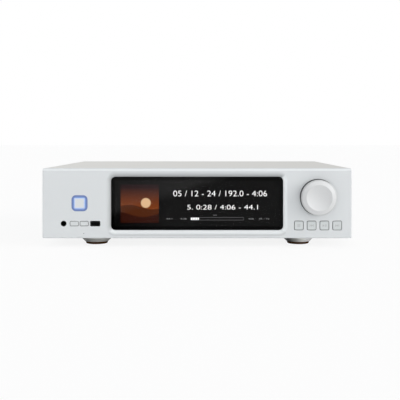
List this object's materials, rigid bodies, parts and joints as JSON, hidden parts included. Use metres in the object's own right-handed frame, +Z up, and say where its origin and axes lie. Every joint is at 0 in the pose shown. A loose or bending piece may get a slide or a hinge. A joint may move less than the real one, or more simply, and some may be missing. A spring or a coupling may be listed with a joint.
{
  "type": "network music streamer",
  "caption": "Full-width silver network music streamer with a wide display, a dished volume knob, push keys, a lit power button, front sockets and flared feet.",
  "frame": {"origin": "on the ground under the middle of the overall box", "axes": "+X to the right seen from the front, +Y from the front to the rear, +Z up"},
  "size_m": [0.43, 0.378, 0.1095],
  "materials": {
    "silver_aluminium": "bead-blasted, clear anodised",
    "turned_aluminium": "fine turned, clear anodised",
    "steel": "plain zinc plated",
    "display_glass": "polished, dark tinted",
    "screen": "dark display module",
    "black_foam": "matt foam",
    "light_guide": "translucent blue, lit",
    "black_plastic": "fine matt",
    "pad": "dark brown, matt",
    "board": "solder-masked board",
    "brass": "plated brass",
    "socket_insulator": "moulded",
    "cable": "flat cable",
    "winding": "varnished winding"
  },
  "bodies": {
    "case": {"front_panel": "silver_aluminium", "front_subframe": "steel", "side_panel_left": "silver_aluminium", "side_panel_right": "silver_aluminium", "top_cover": "silver_aluminium", "base_plate": "silver_aluminium", "rear_panel": "silver_aluminium", "top_cover_screws": "steel", "base_plate_screws": "steel", "rear_panel_screws": "steel", "front_panel_screws": "steel", "foot_front_left": "turned_aluminium", "foot_front_right": "turned_aluminium", "foot_rear_left": "turned_aluminium", "foot_rear_right": "turned_aluminium", "foot_pads": "pad", "foot_screws": "steel", "display_glass": "display_glass", "display_gasket": "black_foam", "lcd_module": "screen", "display_bracket": "steel", "display_cable": "cable", "encoder_body": "steel", "encoder_nut": "steel", "power_light_ring": "light_guide", "push_switches": "black_plastic", "left_control_board": "board", "right_control_board": "board", "headphone_socket": "black_plastic", "usb_bezel": "black_plastic", "usb_shells": "steel", "usb_tongues": "black_plastic", "mains_inlet": "black_plastic", "mains_inlet_pins": "steel", "mains_switch_frame": "black_plastic", "rca_barrels": "brass", "rca_insulators": "socket_insulator", "network_socket": "steel", "transformer": "winding", "transformer_clamp": "steel", "power_board": "board", "power_capacitors": "black_plastic", "main_board": "board", "processor_heatsink": "black_plastic", "audio_board": "board", "storage_drive": "steel", "board_standoffs": "brass", "board_screws": "steel"},
    "knob": {"volume_knob": "turned_aluminium", "knob_grub_screw": "steel", "encoder_shaft": "steel"},
    "power_key": {"power_button": "silver_aluminium"},
    "select_1": {"select_key_1": "silver_aluminium"},
    "select_2": {"select_key_2": "silver_aluminium"},
    "menu": {"menu_key": "silver_aluminium"},
    "previous": {"previous_key": "silver_aluminium"},
    "play": {"play_key": "silver_aluminium"},
    "next": {"next_key": "silver_aluminium"},
    "rocker": {"mains_rocker": "black_plastic"}
  },
  "joints": [
    {"name": "volume_turn", "type": "hinge", "parent": "case", "child": "knob", "pos_m": [0.168, -0.171, 0.0695], "axis": [0, 1, 0], "continuous": true},
    {"name": "power_press", "type": "slide", "parent": "case", "child": "power_key", "axis": [0, 1, 0], "range_m": [0, 0.0008], "stiffness_N_per_m": 400, "springref_m": -0.002},
    {"name": "select_1_press", "type": "slide", "parent": "case", "child": "select_1", "axis": [0, 1, 0], "range_m": [0, 0.0006], "stiffness_N_per_m": 300, "springref_m": -0.002},
    {"name": "select_2_press", "type": "slide", "parent": "case", "child": "select_2", "axis": [0, 1, 0], "range_m": [0, 0.0006], "stiffness_N_per_m": 300, "springref_m": -0.002},
    {"name": "menu_press", "type": "slide", "parent": "case", "child": "menu", "axis": [0, 1, 0], "range_m": [0, 0.0006], "stiffness_N_per_m": 300, "springref_m": -0.002},
    {"name": "previous_press", "type": "slide", "parent": "case", "child": "previous", "axis": [0, 1, 0], "range_m": [0, 0.0006], "stiffness_N_per_m": 300, "springref_m": -0.002},
    {"name": "play_press", "type": "slide", "parent": "case", "child": "play", "axis": [0, 1, 0], "range_m": [0, 0.0006], "stiffness_N_per_m": 300, "springref_m": -0.002},
    {"name": "next_press", "type": "slide", "parent": "case", "child": "next", "axis": [0, 1, 0], "range_m": [0, 0.0006], "stiffness_N_per_m": 300, "springref_m": -0.002},
    {"name": "mains_switch_tip", "type": "hinge", "parent": "case", "child": "rocker", "pos_m": [0.11, 0.1765, 0.0595], "axis": [1, 0, 0], "range_deg": [-22, 0]}
  ]
}
